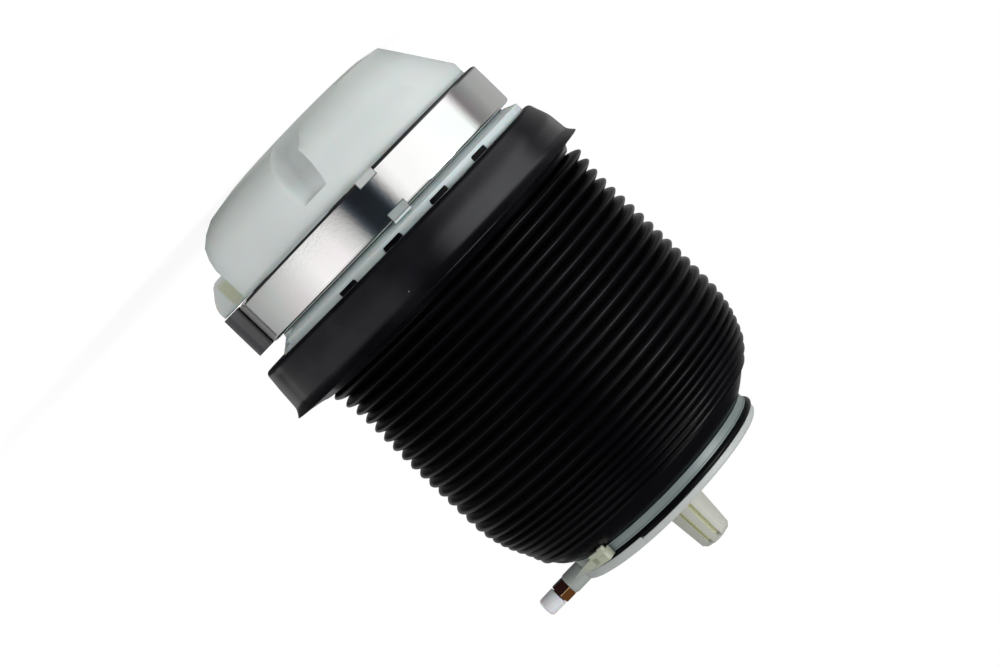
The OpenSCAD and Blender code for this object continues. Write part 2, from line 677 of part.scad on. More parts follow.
// Transport plug that keeps dirt out of the union nut
module transport_plug() {
    x0 = spigot_x + nut_l + 0.6;
    color([0.90, 0.91, 0.92]) difference() {
        union() {
            translate([x0, fit_y, fit_z]) rotate([0, 90, 0]) rotate_extrude()
                polygon(concat([[0, 0], [5.1, 0]], arc([3.5, 7.7], 1.5, 8, 90, 5), [[0, 9.6]]));
            fitting_rod(x0 - 5, x0 + 1, line_r - 0.1);
        }
        fitting_ring(x0 - 1, x0 + 1.4, 3.9, line_r - 0.1);
    }
}

foot_pot();
thread_insert();
foot_seal();
piston_base();
roll_piston();
piston_seal();
lower_crimp_ring();
clamp_band();
band_lock();
dust_collar();
gaiter_clamp();
gaiter();
air_sleeve();
outer_guide();
upper_crimp_ring();
bump_stop();
stop_cup();
stop_screw();
top_cover();
cable_tie();
valve_body();
valve_flap();
line_oring();
line_collet();
union_nut();
transport_plug();
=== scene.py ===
# %% [markdown]
# # Dressing an air suspension spring
#
# A rear air spring is a plastic pot and a plastic cover joined by a rubber sleeve. What the eye
# meets is the dust gaiter round that sleeve: 24 black rubber folds between a flared collar and a
# tied cuff. The other surfaces are milky nylon and one bright steel clamp band.
#
# The solids come in as a frame whose pieces never move. This script puts finishes on the rigid
# pieces, and makes the soft ones again as finer surfaces, worked out with numpy.

import bmesh
import bpy
import numpy as np
from mathutils import Matrix, Vector


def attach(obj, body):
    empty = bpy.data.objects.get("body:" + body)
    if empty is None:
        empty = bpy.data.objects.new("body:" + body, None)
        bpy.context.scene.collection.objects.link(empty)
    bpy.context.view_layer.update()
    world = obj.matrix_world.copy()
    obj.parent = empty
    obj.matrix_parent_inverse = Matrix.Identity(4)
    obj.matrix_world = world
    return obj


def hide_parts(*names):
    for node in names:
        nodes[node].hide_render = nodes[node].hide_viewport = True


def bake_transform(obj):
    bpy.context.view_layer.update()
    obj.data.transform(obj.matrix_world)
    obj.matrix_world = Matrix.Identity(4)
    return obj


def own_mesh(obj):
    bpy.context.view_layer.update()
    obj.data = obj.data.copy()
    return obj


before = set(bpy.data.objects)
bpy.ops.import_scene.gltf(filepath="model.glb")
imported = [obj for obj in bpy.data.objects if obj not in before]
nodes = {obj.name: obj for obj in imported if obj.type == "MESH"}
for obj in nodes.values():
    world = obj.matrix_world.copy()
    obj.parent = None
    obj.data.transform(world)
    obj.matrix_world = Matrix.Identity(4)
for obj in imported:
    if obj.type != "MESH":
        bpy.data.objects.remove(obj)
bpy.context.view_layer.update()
MM = 0.001

# %% [markdown]
# ## The camera
#
# The spring was photographed lying on white, from a bit more than a metre, with a lens that sees a
# little perspective. Laying the model down would move its frame, so here the spring stands and it is
# the camera that rolls: the direction from foot to pin has to run down and to the right in the
# picture. The camera is level with the clamp band and looks up slightly, to the middle of the gaiter.

# %% The photographer's view
EYE = Vector((0.0, -1.09, 0.0585))
AIM = Vector((0.0028, 0.0, 0.1394))
MM_PER_PIXEL = 0.485
PICTURE_W = 1000
SENSOR_W = 36.0
PIN_ANGLE = np.radians(-44.0)
CLIP_START = 0.01
CLIP_END = 50.0


def rolled_camera(eye, aim, pin_angle):
    """Three axes: forward from eye to aim, then the frame's +Z made square to it, then their
    cross product. The picture's axes are the last two turned so that +Z runs at pin_angle."""
    forward = (aim - eye).normalized()
    up = (Vector((0, 0, 1)) - forward * forward.z).normalized()
    side = forward.cross(up)
    c, s = float(np.cos(pin_angle)), float(np.sin(pin_angle))
    right = up * c + side * s
    top = up * s - side * c
    return Matrix((right, top, -forward)).transposed().to_4x4()


lens_data = bpy.data.cameras.new("photo_camera")
lens_data.sensor_width = SENSOR_W
lens_data.lens = SENSOR_W * (AIM - EYE).length / (MM_PER_PIXEL * MM) / PICTURE_W
lens_data.clip_start = CLIP_START
lens_data.clip_end = CLIP_END
camera = bpy.data.objects.new("photo_camera", lens_data)
camera.matrix_world = Matrix.Translation(EYE) @ rolled_camera(EYE, AIM, PIN_ANGLE)
bpy.context.scene.collection.objects.link(camera)
bpy.context.scene.camera = camera
bpy.context.scene.view_settings.view_transform = "Standard"
print("camera: lens %.1f mm" % lens_data.lens)

# %% [markdown]
# ## Short words for nodes
#
# Every finish and the light are built from shader nodes. Adding and linking them one by one makes
# long listings, so a few functions say the common steps in a word. Each takes the node tree first and
# gives back the socket that holds the result.

# %% Node helpers
def link(tree, source, target):
    tree.links.new(source, target)


def math_node(tree, operation, first, second=None):
    """One Math node; each of its inputs is a socket or a number."""
    node = tree.nodes.new("ShaderNodeMath")
    node.operation = operation
    for socket, value in zip(node.inputs, (first, second)):
        if value is None:
            continue
        if isinstance(value, (int, float)):
            socket.default_value = value
        else:
            link(tree, value, socket)
    return node.outputs[0]


def times(tree, first, second):
    return math_node(tree, "MULTIPLY", first, second)


def minus(tree, first, second):
    return math_node(tree, "SUBTRACT", first, second)


def larger(tree, first, second):
    return math_node(tree, "MAXIMUM", first, second)


def span(tree, value, start, end, low=0.0, high=1.0):
    """low below start, high above end, and a smooth step between them."""
    node = tree.nodes.new("ShaderNodeMapRange")
    node.interpolation_type = "SMOOTHSTEP"
    for socket, number in (("From Min", start), ("From Max", end), ("To Min", low), ("To Max", high)):
        node.inputs[socket].default_value = number
    link(tree, value, node.inputs["Value"])
    return node.outputs[0]


def between(tree, value, middle, half, soft):
    """1 within half of the middle, 0 beyond half + soft."""
    away = math_node(tree, "ABSOLUTE", minus(tree, value, middle))
    return span(tree, away, half, half + soft, 1.0, 0.0)


def parts_of(tree, vector):
    """The sockets x, y and z of a vector."""
    node = tree.nodes.new("ShaderNodeSeparateXYZ")
    link(tree, vector, node.inputs[0])
    return tuple(node.outputs)


def axis_distance(tree, x, y):
    """Distance from the frame's Z axis, sqrt(x^2 + y^2)."""
    squares = [times(tree, v, v) for v in (x, y)]
    return math_node(tree, "SQRT", math_node(tree, "ADD", *squares))


def mixed(tree, factor, low, high):
    """A colour between low and high; either is a socket or a colour."""
    node = tree.nodes.new("ShaderNodeMix")
    node.data_type = "RGBA"
    link(tree, factor, node.inputs[0])
    for socket, value in ((node.inputs[6], low), (node.inputs[7], high)):
        if isinstance(value, tuple):
            socket.default_value = (*value, 1)
        else:
            link(tree, value, socket)
    return node.outputs[2]


def mix_shaders(tree, factor, low, high):
    """The low shader where the factor is 0 and the high one where it is 1."""
    node = tree.nodes.new("ShaderNodeMixShader")
    for socket, source in zip(node.inputs, (factor, low, high)):
        link(tree, source, socket)
    return node.outputs[0]


# %% [markdown]
# ## The room that metal mirrors
#
# Bright metal shows the room, so the room matters more than the lamps: white panels to the left and
# right, a dark gap round the camera, and a greyer wall behind. Real panels could stand there, but
# they would light the rubber as well. So the room is a ramp over the compass angle, which only
# glossy rays meet, and it grows dark high up and far down, so that black rubber stays black.

# %% The room
ROOM_GREY = (0.46, 0.46, 0.46)
WHITE = (1.0, 1.0, 1.0)
CEILING = (0.04, 0.04, 0.045)
STEEP = (0.26, 0.55)
GAP_LEVEL = 0.1
GAP_COOL = 0.75
# Each stop is a compass angle in degrees, 0 towards the camera and 90 towards +X, and its level
ROOM_STOPS = (
    (-180, 0.40), (-150, 0.46), (-124, 0.43), (-111, 0.30), (-100, 0.22), (-96, 0.60), (-90, 1.2),
    (-24, 1.2), (-18, 1.0), (-12.5, 0.45), (-8, 0.06), (-4, 0.02), (10, 0.02), (15, 0.06),
    (19.5, 0.46), (26, 0.78), (38, 1.08), (60, 1.12), (84, 0.78), (104, 0.60), (130, 0.44), (180, 0.30))


def compass_ramp(tree, x, y):
    """The level at the compass angle atan2(x, -y). The dark gap is a little blue, the rest is grey."""
    node = tree.nodes.new("ShaderNodeValToRGB")
    stops = node.color_ramp.elements
    while len(stops) < len(ROOM_STOPS):
        stops.new(0.5)
    for stop, (degrees, level) in zip(stops, ROOM_STOPS):
        stop.position = (degrees + 180) / 360
        cool = GAP_COOL if level < GAP_LEVEL else 1.0
        stop.color = (level * cool, level, level / cool, 1)
    angle = math_node(tree, "ARCTAN2", x, times(tree, y, -1.0))
    turn = math_node(tree, "ADD", math_node(tree, "DIVIDE", angle, 2 * float(np.pi)), 0.5)
    link(tree, turn, node.inputs[0])
    return node.outputs["Color"]


def world_room():
    """White to the camera, one grey for soft light, and for glossy rays the compass ramp, which turns into
    the dark ceiling while the upright part of the direction, up or down, passes through STEEP."""
    world = bpy.data.worlds.new("white_room")
    bpy.context.scene.world = world
    world.use_nodes = True
    tree = world.node_tree
    tree.nodes.clear()
    coords = tree.nodes.new("ShaderNodeTexCoord")
    x, y, z = parts_of(tree, coords.outputs["Generated"])
    steep = span(tree, math_node(tree, "ABSOLUTE", z), *STEEP)
    room = mixed(tree, steep, compass_ramp(tree, x, y), CEILING)
    path = tree.nodes.new("ShaderNodeLightPath")
    unseen = mixed(tree, path.outputs["Is Glossy Ray"], ROOM_GREY, room)
    back = tree.nodes.new("ShaderNodeBackground")
    link(tree, mixed(tree, path.outputs["Is Camera Ray"], unseen, WHITE), back.inputs["Color"])
    out = tree.nodes.new("ShaderNodeOutputWorld")
    link(tree, back.outputs[0], out.inputs["Surface"])


world_room()
print("room:", len(ROOM_STOPS), "stops round the compass")

# %% [markdown]
# ## The floor
#
# The camera sees the floor's own white, near the spring with a share of real shade. The band and the
# collar mirror the floor as well. A plain white one would show a seam on the band at its own height
# and a pale haze on the collar, so glossy rays meet the room's ramp here too, and it is dark near the
# spring, to the right and behind.

# %% White floor
FLOOR_HALF = 4.0
FLOOR_GREY = (0.80, 0.80, 0.80, 1)
FLOOR_WHITE = 1.2
NEAR_GREY = (0.10, 0.10, 0.11)
# Two distances from the axis in metres, with the level at each where it isn't 0 and 1
SHADE_REACH = (0.2, 0.9, 0.7, 1.0)
GLOW_REACHES = ((0.075, 0.11, 0.22, 0.0), (0.056, 0.064, 0.65, 0.0))
NEAR_REACH = (0.16, 0.40)
FAR_REACH = (0.9, 2.0)
# Two places on X and two on Y, with the level at each
DIM_RIGHT = (-0.26, 0.0, 1.0, 0.22)
DIM_BEHIND = (-0.1, 0.2, 1.0, 0.5)


def own_white(tree, path, reach):
    """The share of the floor's own white. The camera gets 0.7 near the spring and all of it far away, and
    every other ray only a glow in two discs, which lights the pot's underside."""
    seen = times(tree, path.outputs["Is Camera Ray"], span(tree, reach, *SHADE_REACH))
    glow = larger(tree, *[span(tree, reach, *levels) for levels in GLOW_REACHES])
    return larger(tree, seen, glow)


def mirrored_room(tree, x, y, reach):
    """What glossy rays meet: the room's ramp, near the spring a dark grey, dimmed to the right and behind,
    and at its full level far away."""
    mirror = tree.nodes.new("ShaderNodeEmission")
    colour = mixed(tree, span(tree, reach, *NEAR_REACH), NEAR_GREY, compass_ramp(tree, x, y))
    link(tree, colour, mirror.inputs["Color"])
    dimmed = times(tree, span(tree, x, *DIM_RIGHT), span(tree, y, *DIM_BEHIND))
    link(tree, larger(tree, dimmed, span(tree, reach, *FAR_REACH)), mirror.inputs["Strength"])
    return mirror.outputs[0]


def floor_paint():
    """A matt grey that takes the shadow, the floor's own white over it, and the mirrored room."""
    paint = bpy.data.materials.new("floor_white")
    paint.use_nodes = True
    tree = paint.node_tree
    tree.nodes.clear()
    coords = tree.nodes.new("ShaderNodeTexCoord")
    x, y = parts_of(tree, coords.outputs["Object"])[:2]
    reach = axis_distance(tree, x, y)
    path = tree.nodes.new("ShaderNodeLightPath")
    matt = tree.nodes.new("ShaderNodeBsdfDiffuse")
    matt.inputs["Color"].default_value = FLOOR_GREY
    white = tree.nodes.new("ShaderNodeEmission")
    white.inputs["Strength"].default_value = FLOOR_WHITE
    lit = mix_shaders(tree, own_white(tree, path, reach), matt.outputs[0], white.outputs[0])
    both = mix_shaders(tree, path.outputs["Is Glossy Ray"], lit, mirrored_room(tree, x, y, reach))
    out = tree.nodes.new("ShaderNodeOutputMaterial")
    link(tree, both, out.inputs["Surface"])
    return paint


def white_floor():
    """A level square at the foot."""
    corners = [(u * FLOOR_HALF, v * FLOOR_HALF, 0) for u, v in ((-1, -1), (1, -1), (1, 1), (-1, 1))]
    mesh = bpy.data.meshes.new("floor")
    mesh.from_pydata(corners, [], [(0, 1, 2, 3)])
    mesh.materials.append(floor_paint())
    floor = bpy.data.objects.new("floor", mesh)
    bpy.context.scene.collection.objects.link(floor)


white_floor()
print("floor: %.0f m wide" % (2 * FLOOR_HALF))

# %% [markdown]
# ## Three soft lamps
#
# The photograph has one broad light on the left of the standing spring, a weaker one on its right and
# a little from above. Small lamps would draw hard shadows, so these are large squares. The right one
# is kept out of mirrored rays, because the band would show it as a bright square.

# %% Lamps
SPRING_MIDDLE = Vector((0, 0, 0.13))


def soft_lamp(name, place, size, power, mirrored=True):
    """A square lamp of that size at place, turned to face the middle of the spring."""
    data = bpy.data.lights.new(name, "AREA")
    data.size = size
    data.energy = power
    lamp = bpy.data.objects.new(name, data)
    lamp.location = place
    lamp.rotation_euler = (SPRING_MIDDLE - Vector(place)).to_track_quat("-Z", "Y").to_euler()
    lamp.visible_glossy = mirrored
    bpy.context.scene.collection.objects.link(lamp)


soft_lamp("left_lamp", (-1.3, -1.0, 0.55), 0.7, 16.0)
soft_lamp("right_lamp", (1.3, -0.9, 0.45), 1.1, 8.5, mirrored=False)
soft_lamp("top_lamp", (-0.5, -0.5, 1.4), 0.7, 3.0)
print("lamps:", len(bpy.data.lights))

# %% [markdown]
# ## Finishes
#
# Moulded nylon, rolled steel and rubber are never one flat value, and a painted image would need a
# map of each surface. Here every finish is one Principled shader, and noise in Object coordinates
# moves its colour, its roughness and a fine bump. Constant values sit on the shader's own sockets.

# %% A finish from noise
RELIEF_DEPTH = 0.0004


def noise(tree, coords, scale, detail):
    """One noise texture over Object coordinates."""
    node = tree.nodes.new("ShaderNodeTexNoise")
    node.inputs["Scale"].default_value = scale
    node.inputs["Detail"].default_value = detail
    link(tree, coords.outputs["Object"], node.inputs["Vector"])
    return node.outputs["Fac"]


def finish(name, dark, light, rough, grain=60.0, blotch=14.0, bump=0.05, metallic=0.0, **sockets):
    """Colour goes from dark to light with a blotch noise; roughness between the two values of rough
    with the same noise; bump is a finer noise of grain waves per 100 mm."""
    paint = bpy.data.materials.new(name)
    paint.use_nodes = True
    tree = paint.node_tree
    shader = tree.nodes["Principled BSDF"]
    coords = tree.nodes.new("ShaderNodeTexCoord")
    big = noise(tree, coords, blotch, 4.0)
    link(tree, mixed(tree, span(tree, big, 0.3, 0.7), dark, light), shader.inputs["Base Color"])
    link(tree, span(tree, big, 0.25, 0.75, *rough), shader.inputs["Roughness"])
    relief = tree.nodes.new("ShaderNodeBump")
    relief.inputs["Strength"].default_value = bump
    relief.inputs["Distance"].default_value = RELIEF_DEPTH
    link(tree, noise(tree, coords, grain * 10, 3.0), relief.inputs["Height"])
    link(tree, relief.outputs[0], shader.inputs["Normal"])
    shader.inputs["Metallic"].default_value = metallic
    for socket, value in sockets.items():
        shader.inputs[socket.replace("_", " ")].default_value = value
    return paint


def patches(paint, scale, start, end, colour, spread=0.0, size=0.0):
    """Lays a colour over the paint where a noise is high. With a spread it keeps only dots of that size, at
    most one in each cell of a Voronoi pattern with cells as wide as the spread, as dust does."""
    tree = paint.node_tree
    base = tree.nodes["Principled BSDF"].inputs["Base Color"]
    coords = tree.nodes.new("ShaderNodeTexCoord")
    mask = span(tree, noise(tree, coords, scale, 2.0), start, end)
    if spread:
        cells = tree.nodes.new("ShaderNodeTexVoronoi")
        cells.inputs["Scale"].default_value = 1 / spread
        link(tree, coords.outputs["Object"], cells.inputs["Vector"])
        dots = span(tree, cells.outputs["Distance"], size / spread * 0.5, size / spread, 1.0, 0.0)
        mask = times(tree, mask, dots)
    link(tree, mixed(tree, mask, base.links[0].from_socket, colour), base)


# %% Nylon, metal and rubber
milky = dict(Subsurface_Weight=0.35, Subsurface_Scale=0.006, Specular_IOR_Level=0.35)
pot_nylon = finish("pot_nylon", (0.64, 0.685, 0.675), (0.68, 0.725, 0.715), (0.40, 0.5), **milky)
base_nylon = finish("base_nylon", (0.58, 0.66, 0.67), (0.64, 0.71, 0.71), (0.35, 0.48), **milky)
# The cover's nylon is greyer than the pot's, and its darker value is partly painted shade for the weaker
# light at the cover's end
cover_nylon = finish("cover_nylon", (0.39, 0.42, 0.41), (0.44, 0.465, 0.455), (0.40, 0.5),
                     bump=0.012, Specular_IOR_Level=0.35)
plug_plastic = finish("plug_plastic", (0.61, 0.63, 0.66), (0.67, 0.69, 0.71), (0.25, 0.35), **milky)
tie_nylon = finish("tie_nylon", (0.13, 0.17, 0.17), (0.17, 0.205, 0.20), (0.34, 0.44),
                   Specular_IOR_Level=0.5)
black_nylon = finish("black_nylon", (0.02, 0.02, 0.02), (0.03, 0.03, 0.03), (0.45, 0.55))

band_steel = finish("band_steel", (0.78, 0.78, 0.77), (0.86, 0.85, 0.83), (0.08, 0.12),
                    bump=0.035, metallic=1.0)
patches(band_steel, 24.0, 0.50, 0.72, (0.80, 0.86, 0.835))
patches(band_steel, 33.0, 0.52, 0.74, (0.87, 0.81, 0.83))
lock_steel = finish("lock_steel", (0.125, 0.125, 0.13), (0.15, 0.15, 0.155), (0.42, 0.55), grain=90)
zinc = finish("zinc", (0.55, 0.56, 0.57), (0.65, 0.66, 0.67), (0.3, 0.4), metallic=1.0)
aluminium = finish("aluminium", (0.70, 0.71, 0.73), (0.78, 0.79, 0.8), (0.28, 0.38), metallic=1.0)
brass = finish("brass", (0.62, 0.42, 0.14), (0.70, 0.50, 0.20), (0.28, 0.4), metallic=1.0)
nut_brass = finish("nut_brass", (0.050, 0.016, 0.013), (0.075, 0.024, 0.017), (0.30, 0.42), metallic=0.6)

rubber = finish("seal_rubber", (0.01, 0.01, 0.012), (0.018, 0.018, 0.02), (0.45, 0.6))
gaiter_rubber = finish("gaiter_rubber", (0.0018, 0.0018, 0.0024), (0.0030, 0.0028, 0.0036), (0.20, 0.29),
                       bump=0.08, Specular_IOR_Level=0.085)
collar_rubber = finish("collar_rubber", (0.0022, 0.0022, 0.0034), (0.0038, 0.0038, 0.0052), (0.20, 0.30),
                       blotch=22, Specular_IOR_Level=0.64, Specular_Tint=(0.93, 0.94, 1.0, 1))
patches(collar_rubber, 36.0, 0.52, 0.70, (0.007, 0.007, 0.009))
patches(collar_rubber, 30.0, 0.50, 0.62, (0.22, 0.22, 0.22), spread=0.012, size=0.0005)
foam = finish("stop_foam", (0.55, 0.48, 0.28), (0.65, 0.58, 0.36), (0.75, 0.9), bump=0.4)

# %% [markdown]
# ### Tints: thin plastic, painted light and painted shade
#
# Unfilled nylon yellows and lets light through, so the grooves of the pin and the cored ear have their
# own tone. The spigot, the pot's foot, the scoop, the lugs, the line over the band and the lock's outer
# part carry painted shade; the nut's upper facets carry painted light, and its front corner a thin
# painted highlight. Vertex colours would need a fine mesh for such edges, so each tint is a mask from
# place alone: a distance, a slab or a cone, in metres.

# %% Masks for the tints
X, Z = 0, 2
PIN_FOOT_Z = 0.2525
PIN_FOOT_R = 0.0113
PIN_TAPER = 0.081
GROOVE_DEPTH = (0.0002, 0.0009)
GROOVE_MIDDLE = 0.27
GROOVE_HALF = 0.0115
GAP_SHADOW_Z = 0.0640
SCOOP_UP = (0.018, 0.031, 1.0, 0.35)
SCOOP_RIGHT = (0.019, 0.026, 1.0, 0.0)
BAND_R = (0.0790, 0.0795)
LUG_HALF = 0.0024
LOWER_LUG_Z = 0.0423
UPPER_LUG_Z = 0.0617
EAR_X = 0.0782
EAR_Z = 0.0322
CORNER_Y = (0.01455, 0.0147, 1.0, 0.0)
CORNER_Z = 0.2528


def tint(paint, mask, colour, socket="Base Color"):
    """Mixes a colour over the paint's own wherever the mask is 1. The mask is a function of the tree and
    the three sockets x, y, z of the Object coordinates. On a number's socket a grey gives its value."""
    tree = paint.node_tree
    base = tree.nodes["Principled BSDF"].inputs[socket]
    coords = tree.nodes.new("ShaderNodeTexCoord")
    parts = parts_of(tree, coords.outputs["Object"])
    link(tree, mixed(tree, mask(tree, *parts), base.links[0].from_socket, colour), base)


def along(axis, start, end, low=0.0, high=1.0):
    """A mask that goes from low to high between two places on one axis."""
    def mask(tree, *place):
        return span(tree, place[axis], start, end, low, high)
    return mask


def outside(start, end):
    """A mask that goes from 0 to 1 between two distances from the axis."""
    def mask(tree, x, y, z):
        return span(tree, axis_distance(tree, x, y), start, end)
    return mask


def gap_shadow_line(tree, x, y, z):
    """Painted shadow: a dark line of 1 mm where the piston base comes out of the band."""
    return between(tree, z, GAP_SHADOW_Z, 0.0005, 0.0002)


def pin_grooves(tree, x, y, z):
    """1 where a point of the pin lies well inside the pin's own cone, whose radius is the foot's less the
    taper times the height over the foot."""
    cone = minus(tree, PIN_FOOT_R, times(tree, minus(tree, z, PIN_FOOT_Z), PIN_TAPER))
    inside = span(tree, minus(tree, cone, axis_distance(tree, x, y)), *GROOVE_DEPTH)
    return times(tree, inside, between(tree, z, GROOVE_MIDDLE, GROOVE_HALF, 0.0015))


def scoop_shade(tree, x, y, z):
    """The faces of the scoop, kept as an attribute of the pot's smooth copy, fading over its right flank
    and towards its upper end."""
    inside = tree.nodes.new("ShaderNodeAttribute")
    inside.attribute_name = "recess"
    low = times(tree, inside.outputs["Fac"], span(tree, z, *SCOOP_UP))
    return times(tree, low, span(tree, x, *SCOOP_RIGHT))


def lug_shade(level):
    """Painted shade on the part of a lug that stands in the band's notch, at that height."""
    def mask(tree, x, y, z):
        ring = span(tree, axis_distance(tree, x, y), *BAND_R)
        return times(tree, between(tree, z, level, LUG_HALF, 0.0004), ring)
    return mask


def ear_core(tree, x, y, z):
    """An upright stripe of the ear, where a pocket from behind leaves a thin skin."""
    stripe = between(tree, x, EAR_X, 0.0022, 0.0014)
    return times(tree, stripe, between(tree, z, EAR_Z, 0.0040, 0.0045))


def corner_highlight(tree, x, y, z):
    """A painted highlight along the corner line of the nut that faces the camera, about 0.3 mm wide."""
    front = span(tree, y, *CORNER_Y)
    return times(tree, front, between(tree, z, CORNER_Z, 0.00012, 0.0001))


# %% Tints
# Cover: the pin and the root of its grooves, then painted shade on the spigot
tint(cover_nylon, along(Z, 0.2545, 0.2560), (0.42, 0.43, 0.385))
tint(cover_nylon, pin_grooves, (0.70, 0.70, 0.50))
tint(cover_nylon, along(X, 0.050, 0.060), (0.31, 0.335, 0.32))
# Pot: painted shade towards its foot, in the scoop and on the lower lug, then the ear
tint(pot_nylon, along(Z, 0.001, 0.020, 1.0, 0.0), (0.49, 0.525, 0.505))
tint(pot_nylon, scoop_shade, (0.47, 0.505, 0.495))
tint(pot_nylon, lug_shade(LOWER_LUG_Z), (0.46, 0.49, 0.485))
tint(pot_nylon, ear_core, (0.54, 0.56, 0.43))
# Piston base: a painted shadow line over the band, and painted shade on the upper lug
tint(base_nylon, gap_shadow_line, (0.03, 0.035, 0.035))
tint(base_nylon, lug_shade(UPPER_LUG_Z), (0.33, 0.375, 0.37))
# Band and lock: rough steel near the lock, and painted shade on the lock's outer part
tint(band_steel, along(X, 0.0760, 0.0780), (0.55, 0.55, 0.55), "Roughness")
tint(lock_steel, along(X, 0.0862, 0.0866), (0.092, 0.092, 0.098))
# Cable tie: yellowed where it stands out over the strap, and greyer at the head's right end
tint(tie_nylon, outside(0.0576, 0.0582), (0.38, 0.41, 0.31))
tint(tie_nylon, along(X, 0.052, 0.058), (0.33, 0.35, 0.315))
# Nut: painted light on its upper facets, and a painted highlight along its front corner
tint(nut_brass, along(Z, 0.25275, 0.25285), (0.19, 0.072, 0.014))
tint(nut_brass, corner_highlight, (0.95, 0.66, 0.36))
print("tints: pin, spigot, foot, scoop, lugs, ear, gap, band, lock, tie and nut")

# %% [markdown]
# ## Who wears what
#
# A solid of the frame takes its finish in its material slot, and its mesh stays as it is. One table
# for all of them shows at a glance which pieces share a material on the real spring.

# %% Outfit of the solids
OUTFIT = {
    pot_nylon: ["foot_pot"],
    base_nylon: ["piston_base"],
    cover_nylon: ["top_cover"],
    plug_plastic: ["transport_plug"],
    tie_nylon: ["cable_tie"],
    black_nylon: ["roll_piston"],
    band_steel: ["clamp_band"],
    lock_steel: ["band_lock"],
    zinc: ["lower_crimp_ring", "upper_crimp_ring", "gaiter_clamp", "stop_cup", "stop_screw",
           "thread_insert"],
    aluminium: ["outer_guide"],
    brass: ["valve_body", "line_collet"],
    nut_brass: ["union_nut"],
    rubber: ["foot_seal", "piston_seal", "line_oring", "valve_flap", "air_sleeve"],
    gaiter_rubber: ["gaiter"],
    collar_rubber: ["dust_collar"],
    foam: ["bump_stop"],
}


def dress(node_name, paint):
    """The finish of one solid of the frame."""
    mesh = nodes[node_name].data
    mesh.materials.clear()
    mesh.materials.append(paint)


for paint, names in OUTFIT.items():
    for name in names:
        dress(name, paint)
print("finishes:", len(OUTFIT))

# %% [markdown]
# ## Round surfaces from a grid
#
# Most pieces here are turned: a profile swept round the axis. A Screw modifier could do that, but a
# grid of angle and profile point gives every vertex at once, and small functions of angle and height
# can push the surface out of round, as soft rubber is in life. The profile runs round the whole wall,
# outside and inside, so it closes.

# %% Grid helpers
def new_piece(name, points, faces, body, slot, paint, smooth_degrees=40.0):
    """A mesh object at the origin, smooth below that angle, with its finish and the body it rides on. The
    argument slot is not used.
    """
    mesh = bpy.data.meshes.new(name)
    mesh.from_pydata(points, [], faces)
    mesh.materials.append(paint)
    mesh.shade_smooth()
    mesh.set_sharp_from_angle(angle=np.radians(smooth_degrees))
    piece = bpy.data.objects.new(name, mesh)
    bpy.context.scene.collection.objects.link(piece)
    if body:
        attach(piece, body)
    print(name, len(mesh.vertices), "points,", len(mesh.polygons), "faces")
    return piece


def grid_mesh(name, xyz, body, slot, paint, capped=False, smooth_degrees=40.0):
    """One quad for each step of angle and row. xyz has the shape (rows, angles, 3); angles always close.
    The rows close to a loop, or end in two flat caps."""
    rows, angles = xyz.shape[:2]
    i = np.arange(rows - 1 if capped else rows)[:, None]
    j = np.arange(angles)[None, :]
    nxt_i, nxt_j = (i + 1) % rows, (j + 1) % angles
    quads = np.stack([i * angles + j, i * angles + nxt_j, nxt_i * angles + nxt_j, nxt_i * angles + j], -1)
    faces = quads.reshape(-1, 4).tolist()
    if capped:
        faces += [list(range(angles))[::-1], list(range((rows - 1) * angles, rows * angles))]
    return new_piece(name, xyz.reshape(-1, 3), faces, body, slot, paint, smooth_degrees)


def circle(angles):
    """Equal steps of angle round the circle, as one row of a grid."""
    return np.linspace(0, 2 * np.pi, angles, endpoint=False)[None, :]


def turned(profile, angles, push=None):
    """x = (r + dr) cos a + dx, y = (r + dr) sin a, z + dz, where push gives (dr, dx, dz) for the grids
    of angle, radius and height. The profile holds radius and height in millimetres."""
    a = circle(angles)
    r = profile[:, 0][:, None] + 0 * a
    z = profile[:, 1][:, None] + 0 * a
    dr, dx, dz = push(a, r, z) if push else (0, 0, 0)
    return np.stack([(r + dr) * np.cos(a) + dx, (r + dr) * np.sin(a), z + dz], -1) * MM


# %% Shapes of soft rubber
def smooth_step(x, x0, x1):
    """0 below x0, 1 above x1, and 3t^2 - 2t^3 between."""
    t = np.clip((x - x0) / (x1 - x0), 0, 1)
    return t * t * (3 - 2 * t)


def ripple(a, waves, seed):
    """A sum of a few cosines round the circle, each with its own drawn phase and a size of 1/wave."""
    phases = np.random.default_rng(seed).uniform(0, 2 * np.pi, len(waves))
    return sum(np.cos(w * a + p) / w for w, p in zip(waves, phases))


def sector(a, start, end):
    """1 between two azimuths in degrees, 0 outside, with 2 degrees of slope."""
    degrees = np.degrees((a + np.pi) % (2 * np.pi) - np.pi)
    return smooth_step(degrees, start - 2, start) * (1 - smooth_step(degrees, end, end + 2))


# %% [markdown]
# ## The gaiter
#
# Real folds are blunt at the crest and sharp in the valley. One fold repeated by an Array modifier
# would be the same all the way up, but here they crowd together over the shoulder, and each is a
# little shallower than the last. So the radius is a formula of the height: a power of the distance
# from the crest. Near 2 the crest is round, and two neighbours meet in a crease. The whole bellows
# leans a few millimetres to one side, as it does when the spring hangs free.

# %% Fold heights, radii and depths
GAITER_R = 82.5
GAITER_WALL = 2.0
BULGE = 0.8
BULGE_Z = 175
BULGE_REACH = 45
SHOULDER_Z = 194.0
SHOULDER_POWER = 0.7
CUFF_R = 56.0
TIE_Z = 241.8
TIE_W = 4.8

FOLDS = 24
EVEN_FOLDS = 15
FIRST_VALLEY = 101.6
PITCH = 6.2
LEAST_PITCH = 3.8
FOLD_POWER = 1.9
# Depth of the first fold and what each next one loses, along the straight part and over the shoulder
STRAIGHT_DEPTH, STRAIGHT_LOSS = 5.4, 0.15
SHOULDER_DEPTH, SHOULDER_LOSS = 3.1, 0.35
LEAST_DEPTH = 0.9
# How far the first crest stands out over the rest, and what each next one loses
FIRST_CREST, CREST_LOSS = 1.8, 0.8

